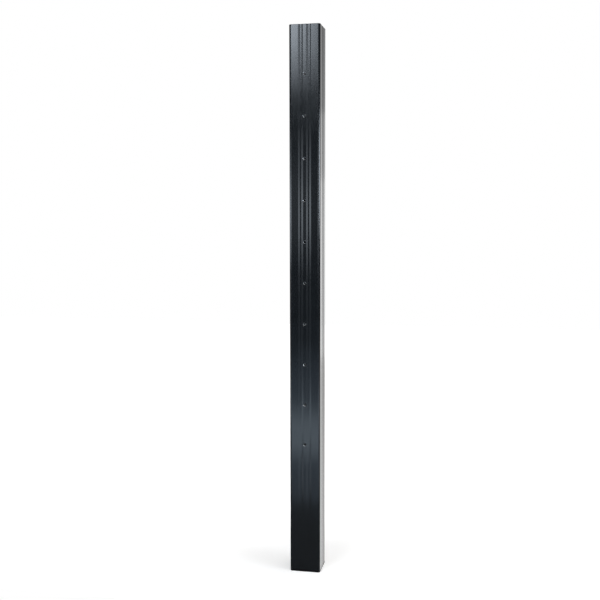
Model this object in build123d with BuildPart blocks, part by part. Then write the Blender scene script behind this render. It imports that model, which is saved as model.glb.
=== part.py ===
from build123d import *
import os

# Fascia-mount railing post: an extruded aluminium tube, drilled for horizontal cables,
# with a moulded plug closing its lower end. Millimetres, +Z up, the drilled face towards -Y.
# The origin is at the middle of the plug's underside, where the post stands.

# Extruded section
post_width = 60.325
corner_radius = 4.7625
wall = 3.175
tube_length = 1060.45

# Two shallow flutes on each face, either side of a flat land
cable_land = 6.0
flute_width = 9.525
flute_depth = 0.8

# Screw ports, one in each inside corner, open towards the middle of the tube
port_diameter = 5.2
port_wall = 2.0
port_web = 0.6
port_slot = 2.2

# Cable holes through the front and back walls, counted down from the tube's upper end
cable_hole_diameter = 4.7625
cable_hole_count = 10
cable_hole_pitch = 79.375
top_hole_drop = 92.075
hole_rim = 0.55
rim_angle = 90

# Saw-cut ends, broken with a file
end_chamfer = 0.4

# Moulded plug in the lower end
flange_thickness = 3.175
flange_edge_radius = 1.0
plug_length = 22.0
plug_wall = 2.2
plug_gap = 0.7
plug_corner_radius = 2.0
port_clearance = 0.5
lead_in = 1.2
barb_count = 3
barb_pitch = 5.5
barb_height = 2.4
barb_clearance = 0.05
first_barb_height = 4.0

# Sizes that follow from those above
half_width = post_width / 2
inner_half = half_width - wall
inner_radius = corner_radius - wall
port_radius = port_diameter / 2
boss_radius = port_radius + port_wall
port_centre = inner_half - port_web - port_radius
port_reach = port_centre * 2**0.5
flute_radius = (flute_width**2 / 4 + flute_depth**2) / (2 * flute_depth)
flute_axis = half_width + flute_radius - flute_depth
flute_spacing = cable_land + flute_width
hole_radius = cable_hole_diameter / 2
tube_bottom = flange_thickness
top_hole_height = tube_length - top_hole_drop
plug_reach = inner_half - plug_gap
plug_arm = port_centre - boss_radius - port_clearance
barb_reach = inner_half - barb_clearance

os.makedirs("parts", exist_ok=True)


# The tube is one extrusion, so its whole section is drawn once and pulled to length
with BuildPart() as post_tube:
    with BuildSketch(Plane.XY.offset(tube_bottom)) as section:
        RectangleRounded(post_width, post_width, corner_radius)
        with PolarLocations(flute_axis, 4):
            with GridLocations(0, flute_spacing, 1, 2):
                Circle(flute_radius, mode=Mode.SUBTRACT)
        RectangleRounded(2 * inner_half, 2 * inner_half, inner_radius, mode=Mode.SUBTRACT)
        with GridLocations(2 * port_centre, 2 * port_centre, 2, 2):
            Circle(boss_radius)
            Circle(port_radius, mode=Mode.SUBTRACT)
        with PolarLocations(port_reach, 4, start_angle=45):
            with Locations((-boss_radius, 0)):
                Rectangle(2 * boss_radius, port_slot, mode=Mode.SUBTRACT)
    extrude(amount=tube_length)

    for end in (Axis.Z, -Axis.Z):
        cut_face = post_tube.faces().sort_by(end)[-1]
        chamfer(cut_face.outer_wire().edges(), end_chamfer)

    # The holes in the two walls face each other, each with a broken outer rim
    front = Plane(origin=(0, -half_width, tube_bottom), x_dir=(1, 0, 0), z_dir=(0, -1, 0))
    back = Plane(origin=(0, half_width, tube_bottom), x_dir=(-1, 0, 0), z_dir=(0, 1, 0))
    hole_places = [(0, top_hole_height - n * cable_hole_pitch) for n in range(cable_hole_count)]
    for drilled_face in (front, back):
        with Locations(drilled_face):
            with Locations(*hole_places):
                CounterSinkHole(hole_radius, hole_radius + hole_rim, half_width, rim_angle)

post_tube.part.label = "post_tube"
export_step(post_tube.part, "parts/post_tube.step")


# The plug is a flange the size of the post, with a hollow cross that grips the four inner walls
with BuildPart() as bottom_cap:
    with BuildSketch() as flange_outline:
        RectangleRounded(post_width, post_width, corner_radius)
    extrude(amount=flange_thickness)
    underside = bottom_cap.faces().sort_by(Axis.Z)[0]
    fillet(underside.outer_wire().edges(), flange_edge_radius)

    with BuildSketch(Plane.XY.offset(flange_thickness)) as cross_outline:
        Rectangle(2 * plug_reach, 2 * plug_arm)
        Rectangle(2 * plug_arm, 2 * plug_reach)
        fillet(cross_outline.vertices(), plug_corner_radius)
    extrude(amount=plug_length)
    rim_face = bottom_cap.faces().sort_by(Axis.Z)[-1]
    chamfer(rim_face.outer_wire().edges(), lead_in)
    with BuildSketch(Plane.XY.offset(flange_thickness)) as cross_hollow:
        offset(cross_outline.sketch, amount=-plug_wall)
    extrude(amount=plug_length, mode=Mode.SUBTRACT)

    # Barbs slope upwards, so that the plug pushes in and then holds
    barb_width = 2 * (plug_arm - plug_corner_radius)
    barb_levels = [first_barb_height + n * barb_pitch for n in range(barb_count)]
    for turn in range(4):
        side = Plane.XZ.rotated((0, 0, 90 * turn)).offset(-barb_width / 2)
        with BuildSketch(side) as barb_profile:
            with Locations(*[(plug_reach, flange_thickness + level) for level in barb_levels]):
                Polygon(
                    (-plug_wall / 2, 0),
                    (barb_reach - plug_reach, 0),
                    (0, barb_height),
                    (-plug_wall / 2, barb_height),
                    align=None,
                )
        extrude(amount=barb_width)

bottom_cap.part.label = "bottom_cap"
export_step(bottom_cap.part, "parts/bottom_cap.step")
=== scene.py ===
from math import pi, radians

import bmesh
import bpy
from mathutils import Matrix, Vector


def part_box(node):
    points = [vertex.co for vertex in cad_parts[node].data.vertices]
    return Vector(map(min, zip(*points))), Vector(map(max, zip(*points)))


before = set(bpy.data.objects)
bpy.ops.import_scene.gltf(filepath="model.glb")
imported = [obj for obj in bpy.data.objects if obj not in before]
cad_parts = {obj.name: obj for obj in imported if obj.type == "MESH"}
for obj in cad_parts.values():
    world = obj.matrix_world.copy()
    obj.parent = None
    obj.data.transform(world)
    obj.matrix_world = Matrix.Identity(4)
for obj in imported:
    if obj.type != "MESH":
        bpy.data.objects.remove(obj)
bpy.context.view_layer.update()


# Post tube: an aluminium extrusion, sawn to length and powder coated black, sawn ends too. The coat
# ends half way down the broken rims of the ten drilled cable holes, so their bores are bright metal.
# Only a dusting of powder goes down the open end, and below it the long lines of the die show.
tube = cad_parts["post_tube"]
tube_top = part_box("post_tube")[1].z
inner_half = 0.02699
inside_edge = (inner_half + 0.0004, inner_half + 0.0001)
drilled_wall_start = inner_half - 0.0002
hole_count = 10
hole_pitch = 0.079375
lowest_hole = 0.257175
hole_row_length = hole_count * hole_pitch
hole_row_bottom = lowest_hole - hole_pitch / 2
hole_rim_radius = 0.00268
hole_rim_edge = 0.00006
coat_dark = (0.0050, 0.0060, 0.0070, 1)
coat_light = (0.0070, 0.0082, 0.0094, 1)
coat_gloss = (0.14, 0.16)
peel_size = 0.0013
peel_height = 0.4e-6
mottle_size = 0.035
grain_detail = {"Fine": 3.0, "Broad": 4.0}
grain_spread = (0.3, 0.7)
bare_dark = (0.58, 0.59, 0.60, 1)
bare_light = (0.80, 0.81, 0.82, 1)
bare_gloss = (0.22, 0.36)
bare_metal = 0.8
die_line_width = 0.00035
die_line_stretch = 0.004
die_line_detail = 3.0
die_line_height = 6e-6
dusting_depth = 0.022
dusting_fade = 0.018
dusting_edge = dusting_fade / 3
dusting_speck = 0.0011
dusting_detail = 4.0


def shader_node(tree, kind, inputs=None, **settings):
    made = tree.nodes.new(f"ShaderNode{kind}")
    for name, value in settings.items():
        setattr(made, name, value)
    for socket, value in (inputs or {}).items():
        if isinstance(value, bpy.types.NodeSocket):
            tree.links.new(value, made.inputs[socket])
        else:
            made.inputs[socket].default_value = value
    return made


def worked_out(tree, operation, *values):
    terms = dict(enumerate(values))
    return shader_node(tree, "Math", terms, operation=operation).outputs[0]


def ranged(tree, value, low, high, to_low=0.0, to_high=1.0):
    terms = {0: value, 1: low, 2: high, 3: to_low, 4: to_high}
    return shader_node(tree, "MapRange", terms, interpolation_type="SMOOTHSTEP").outputs[0]


def blended(tree, share, first, second):
    if isinstance(first, (bpy.types.NodeSocketColor, tuple)):
        terms = {"Factor": share, 6: first, 7: second}
        return shader_node(tree, "Mix", terms, data_type="RGBA").outputs[2]
    terms = {0: share, 2: first, 3: second}
    return shader_node(tree, "Mix", terms, data_type="FLOAT").outputs[0]


def speckle(tree, place, size, detail):
    terms = {"Vector": place, "Scale": 1 / size, "Detail": detail}
    return shader_node(tree, "TexNoise", terms).outputs["Fac"]


def grain_group():
    group = bpy.data.node_groups.new("surface_grain", "ShaderNodeTree")
    group.interface.new_socket("Place", in_out="INPUT", socket_type="NodeSocketVector")
    for name in grain_detail:
        group.interface.new_socket(f"{name} Size", in_out="INPUT", socket_type="NodeSocketFloat")
        group.interface.new_socket(name, in_out="OUTPUT", socket_type="NodeSocketFloat")
    given = group.nodes.new("NodeGroupInput").outputs
    result = group.nodes.new("NodeGroupOutput").inputs
    for name, detail in grain_detail.items():
        scale = worked_out(group, "DIVIDE", 1.0, given[f"{name} Size"])
        terms = {"Vector": given["Place"], "Scale": scale, "Detail": detail}
        group.links.new(shader_node(group, "TexNoise", terms).outputs["Fac"], result[name])
    return group


def grain(tree, place, fine_size, broad_size):
    terms = {"Place": place, "Fine Size": fine_size, "Broad Size": broad_size}
    outputs = shader_node(tree, "Group", node_tree=surface_grain, inputs=terms).outputs
    return outputs["Fine"], outputs["Broad"]


def new_finish(name):
    finish = bpy.data.materials.new(name)
    finish.use_nodes = True
    finish.node_tree.nodes.clear()
    tree = finish.node_tree
    surface = shader_node(tree, "BsdfPrincipled")
    shader_node(tree, "OutputMaterial", {"Surface": surface.outputs[0]})
    place = shader_node(tree, "TexCoord").outputs["Object"]
    return finish, tree, surface, place


def raised(tree, surface, height):
    bump = shader_node(tree, "Bump", {"Height": height, "Distance": 1.0, "Strength": 1.0})
    tree.links.new(bump.outputs[0], surface.inputs["Normal"])


surface_grain = grain_group()
coat, tree, surface, place = new_finish("powder_coat_black")
peel, mottle = grain(tree, place, peel_size, mottle_size)
coat_colour = blended(tree, mottle, coat_dark, coat_light)
coat_roughness = ranged(tree, mottle, *grain_spread, *coat_gloss)

stretched = shader_node(tree, "Mapping", {"Vector": place, "Scale": (1, 1, die_line_stretch)})
die_lines = speckle(tree, stretched.outputs[0], die_line_width, die_line_detail)
bare_colour = blended(tree, die_lines, bare_dark, bare_light)
bare_roughness = ranged(tree, die_lines, *grain_spread, *bare_gloss)

axes = shader_node(tree, "SeparateXYZ", {0: place})
across = worked_out(tree, "ABSOLUTE", axes.outputs["X"])
through = worked_out(tree, "ABSOLUTE", axes.outputs["Y"])
from_middle = worked_out(tree, "MAXIMUM", across, through)
inside = ranged(tree, from_middle, *inside_edge)
depth = worked_out(tree, "SUBTRACT", tube_top, axes.outputs["Z"])
specks = speckle(tree, place, dusting_speck, dusting_detail)
ragged_depth = worked_out(tree, "MULTIPLY_ADD", specks, dusting_fade, depth)
undusted = ranged(tree, ragged_depth, dusting_depth, dusting_depth + dusting_edge)
bare_inside = worked_out(tree, "MULTIPLY", inside, undusted)
up_the_row = worked_out(tree, "SUBTRACT", axes.outputs["Z"], hole_row_bottom)
from_space = worked_out(tree, "PINGPONG", up_the_row, hole_pitch / 2)
from_hole = worked_out(tree, "SUBTRACT", hole_pitch / 2, from_space)
from_hole_squared = worked_out(tree, "MULTIPLY", from_hole, from_hole)
from_axis_squared = worked_out(tree, "MULTIPLY_ADD", across, across, from_hole_squared)
from_axis = worked_out(tree, "SQRT", from_axis_squared)
drilled = ranged(tree, from_axis, hole_rim_radius, hole_rim_radius - hole_rim_edge)
drilled_wall = worked_out(tree, "GREATER_THAN", through, drilled_wall_start)
in_the_row = worked_out(tree, "COMPARE", up_the_row, hole_row_length / 2, hole_row_length / 2)
hole_wall = worked_out(tree, "MULTIPLY", drilled_wall, in_the_row)
bare_hole = worked_out(tree, "MULTIPLY", drilled, hole_wall)
bare = worked_out(tree, "MAXIMUM", bare_inside, bare_hole)

coat_bump = worked_out(tree, "MULTIPLY", peel, peel_height)
bare_bump = worked_out(tree, "MULTIPLY", die_lines, die_line_height)
metal = worked_out(tree, "MULTIPLY", bare, bare_metal)
tree.links.new(blended(tree, bare, coat_colour, bare_colour), surface.inputs["Base Color"])
tree.links.new(blended(tree, bare, coat_roughness, bare_roughness), surface.inputs["Roughness"])
tree.links.new(metal, surface.inputs["Metallic"])
raised(tree, surface, blended(tree, bare, coat_bump, bare_bump))
tube.material_slots[0].material = coat


# Bottom cap: a plug moulded in black plastic with a spark-eroded mould texture, pushed into the
# lower end of the tube until its flange meets the sawn edge.
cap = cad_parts["bottom_cap"]
plastic_dark = (0.0018, 0.0018, 0.0019, 1)
plastic_light = (0.0030, 0.0030, 0.0032, 1)
plastic_gloss = (0.28, 0.36)
plastic_shine = 0.3
spark_size = 0.00045
flow_size = 0.02
spark_height = 9e-6

plastic, tree, surface, place = new_finish("moulded_black_plastic")
surface.inputs["Specular IOR Level"].default_value = plastic_shine
sparks, flow = grain(tree, place, spark_size, flow_size)
tree.links.new(blended(tree, flow, plastic_dark, plastic_light), surface.inputs["Base Color"])
tree.links.new(ranged(tree, sparks, *grain_spread, *plastic_gloss), surface.inputs["Roughness"])
raised(tree, surface, worked_out(tree, "MULTIPLY", sparks, spark_height))
cap.material_slots[0].material = plastic


# Floor: a sheet of slightly warm white paper under the post and behind it. It glows white to the
# camera and in reflections. Close to the post it glows less, which paints a shade round the foot,
# and in that shade the lamps' own light on it shows the post's shadow.
floor_width = 6.0
floor_front = -0.22
floor_back = 4.0
floor_squares = 8
paper_white = (0.84, 0.80, 0.76, 1)
paper_glow_white = (1, 1, 1, 1)
paper_glow_in_painted_foot_shade = 0.45
paper_far_glow = 1.0
painted_foot_shade_reach = (0.10, 0.45)


def laid_out(name, shape):
    sheet_mesh = bpy.data.meshes.new(name)
    shape.to_mesh(sheet_mesh)
    shape.free()
    sheet = bpy.data.objects.new(name, sheet_mesh)
    bpy.context.scene.collection.objects.link(sheet)
    return sheet


def dull_finish(name, colour):
    finish, tree, surface, place = new_finish(name)
    surface.inputs["Base Color"].default_value = colour
    surface.inputs["Roughness"].default_value = 1.0
    surface.inputs["Specular IOR Level"].default_value = 0.0
    return finish, tree, surface, place


shape = bmesh.new()
bmesh.ops.create_grid(shape, x_segments=floor_squares, y_segments=floor_squares, size=0.5)
floor_scale = (floor_width, floor_back - floor_front, 1)
bmesh.ops.scale(shape, vec=floor_scale, verts=shape.verts)
floor_middle = (0, (floor_front + floor_back) / 2, 0)
bmesh.ops.translate(shape, vec=floor_middle, verts=shape.verts)
floor = laid_out("floor", shape)

paper, tree, surface, place = dull_finish("white_paper", paper_white)
surface.inputs["Emission Color"].default_value = paper_glow_white
away = shader_node(tree, "VectorMath", {0: place}, operation="LENGTH").outputs["Value"]
# Painted shade: the paper glows less within a short reach of the post, so the floor round the foot
# is darker.
paper_glow_with_painted_foot_shade = ranged(tree, away, *painted_foot_shade_reach, paper_glow_in_painted_foot_shade, paper_far_glow)
rays = shader_node(tree, "LightPath").outputs
in_reflection = worked_out(tree, "MAXIMUM", rays["Is Glossy Ray"], rays["Is Transmission Ray"])
glow = worked_out(tree, "MULTIPLY_ADD", rays["Is Camera Ray"], paper_glow_with_painted_foot_shade, in_reflection)
tree.links.new(glow, surface.inputs["Emission Strength"])
floor.data.materials.append(paper)


# Dark cards: two sheets of dark card that lie in front of the post and to its left. They show only
# in reflections, not to the camera, in bounced light or in shadows, so they paint a dark reflection
# on the foot of the coat and its left edge in place of the white paper.
card_sheets = {
    "front": ((-1.2, -0.70), (1.2, -0.70), (1.2, -0.0304), (-1.2, -0.0304)),
    "left": ((-1.2, -0.0304), (-0.0304, -0.0304), (-0.0304, 1.6), (-1.2, 1.6)),
}
card_height = 0.0005
reflection_only_card_dark = (0.20, 0.20, 0.20, 1)

shape = bmesh.new()
for corners in card_sheets.values():
    shape.faces.new([shape.verts.new((x, y, card_height)) for x, y in corners])
card = laid_out("reflection_only_dark_card", shape)
# Painted reflection: the card is seen by glossy rays only.
card.visible_camera = False
card.visible_diffuse = False
card.visible_transmission = False
card.visible_shadow = False
card.data.materials.append(dull_finish("reflection_only_black_card", reflection_only_card_dark)[0])


# Studio: a white room behind the post and a dark one in front of it. The soft boxes over the camera,
# to both sides, overhead, behind and flat on the floor are what shows in the gloss of the coat.
# Skirts, wings and aprons are weaker boxes that carry a box's light on past its edge.
room_dark = 0.03
room_white = 1.0
room_upper = 0.60
wall_rise = (-0.05, 0.22)
behind_edge = (0.45, 0.85)
left_edge = (-0.45, -0.10)
room_colour = (1, 1, 1, 1)
lamp_cool = (0.90, 1.0, 1.11)
lamp_white = (1, 1, 1)
strip_cool = (0.84, 1.0, 1.13)
sheet_cool = (0.76, 1.0, 1.30)

world = bpy.data.worlds.new("studio")
world.use_nodes = True
tree = world.node_tree
tree.nodes.clear()
towards = shader_node(tree, "TexCoord").outputs["Generated"]
axes = shader_node(tree, "SeparateXYZ", {0: towards}).outputs
wall = ranged(tree, axes["Z"], *wall_rise, room_white, room_upper)
behind = ranged(tree, axes["Y"], *behind_edge)
not_left = ranged(tree, axes["X"], *left_edge)
room = blended(tree, worked_out(tree, "MULTIPLY", behind, not_left), room_dark, wall)
camera_ray = shader_node(tree, "LightPath").outputs["Is Camera Ray"]
brightness = blended(tree, camera_ray, room, room_white)
background = shader_node(tree, "Background", {"Color": room_colour, "Strength": brightness})
shader_node(tree, "OutputWorld", {"Surface": background.outputs[0]})
bpy.context.scene.world = world


def soft_box(name, place, aim, width, height, radiance, colour=lamp_cool):
    lamp = bpy.data.lights.new(name, "AREA")
    lamp.color = colour
    lamp.shape = "RECTANGLE"
    lamp.size = width
    lamp.size_y = height
    lamp.energy = pi * radiance * width * height
    box = bpy.data.objects.new(name, lamp)
    box.location = place
    box.rotation_euler = (Vector(aim) - Vector(place)).to_track_quat("-Z", "Y").to_euler()
    box.visible_camera = False
    bpy.context.scene.collection.objects.link(box)


soft_box("box_over_camera", (-0.70, -2.20, 1.86), (0, 0, 1.0), 0.66, 0.90, 4.8)
soft_box("box_over_camera_skirt", (-0.70, -2.20, 1.74), (0, 0, 1.0), 0.66, 0.90, 4.2)
soft_box("wing_left", (-1.443, -1.660, 1.45), (0, 0, 1.0), 0.70, 0.43, 1.5)
soft_box("wing_right", (0.31, -2.18, 1.45), (0, 0, 1.0), 0.78, 0.43, 2.9)
soft_box("box_left", (-1.261, -0.985, 0.725), (0, 0, 0.725), 1.9, 0.19, 1.7)
soft_box("box_left_skirt", (-1.275, -0.996, 0.76), (0, 0, 0.76), 1.9, 0.46, 1.4)
soft_box("fill_left", (-0.68, -2.092, 0.74), (0, 0, 0.74), 0.56, 0.34, 0.5)
soft_box("apron_left", (-0.871, -1.342, 0.25), (0, 0, 0.25), 0.95, 0.46, 0.16)
soft_box("apron_right", (0.387, -1.560, 0.25), (0, 0, 0.25), 0.80, 0.46, 0.16)
soft_box("box_far_left", (-1.52, -0.49, 0.70), (0, 0, 0.70), 0.62, 0.30, 3.6)
soft_box("box_right", (0.387, -1.552, 0.71), (0, 0, 0.71), 0.71, 0.19, 1.6)
soft_box("box_right_skirt", (0.391, -1.568, 0.75), (0, 0, 0.75), 0.71, 0.46, 1.25)
soft_box("box_far_right", (1.50, -0.547, 0.85), (0, 0, 0.85), 0.86, 0.36, 13.0)
soft_box("box_overhead", (0.55, -0.25, 2.3), (0.25, -0.1, 0), 2.2, 1.4, 2.2, lamp_white)
soft_box("strip_on_floor", (0, -1.165, 0.003), (0, -1.165, 1.0), 3.2, 0.57, 1.68, strip_cool)
soft_box("sheet_on_floor", (0, -1.56, 0.002), (0, -1.56, 1.0), 3.2, 2.20, 0.46, sheet_cool)
soft_box("left_on_floor", (-0.55, -0.60, 0.002), (-0.55, -0.60, 1.0), 0.50, 0.45, 0.5)
soft_box("right_on_floor", (0.28, -0.68, 0.002), (0.28, -0.68, 1.0), 0.34, 0.40, 0.5)
soft_box("box_behind", (0.75, 2.60, 0.44), (0, 0, 0.44), 1.1, 0.88, 0.42, lamp_white)
soft_box("box_behind_skirt", (0.75, 2.62, 0.60), (0, 0, 0.60), 1.1, 1.20, 0.38, lamp_white)


# Camera: at the photograph's place, about two thirds of the way up the post and to its right. It
# looks slightly down, at the middle of the post.
camera_place = (0.3434, -1.7492, 0.7062)
camera_turn = radians(11.593)
camera_tilt = radians(-5.343)
camera_roll = radians(0.090)
camera_lens = 54.694
camera_sensor = 36

view = bpy.data.cameras.new("camera")
view.lens = camera_lens
view.sensor_width = camera_sensor
camera = bpy.data.objects.new("camera", view)
facing = (
    Matrix.Rotation(camera_turn, 4, "Z")
    @ Matrix.Rotation(camera_tilt, 4, "X")
    @ Matrix.Rotation(camera_roll, 4, "Y")
    @ Matrix.Rotation(pi / 2, 4, "X")
)
camera.matrix_world = Matrix.Translation(camera_place) @ facing
bpy.context.scene.collection.objects.link(camera)
bpy.context.scene.camera = camera
bpy.context.scene.view_settings.view_transform = "Standard"
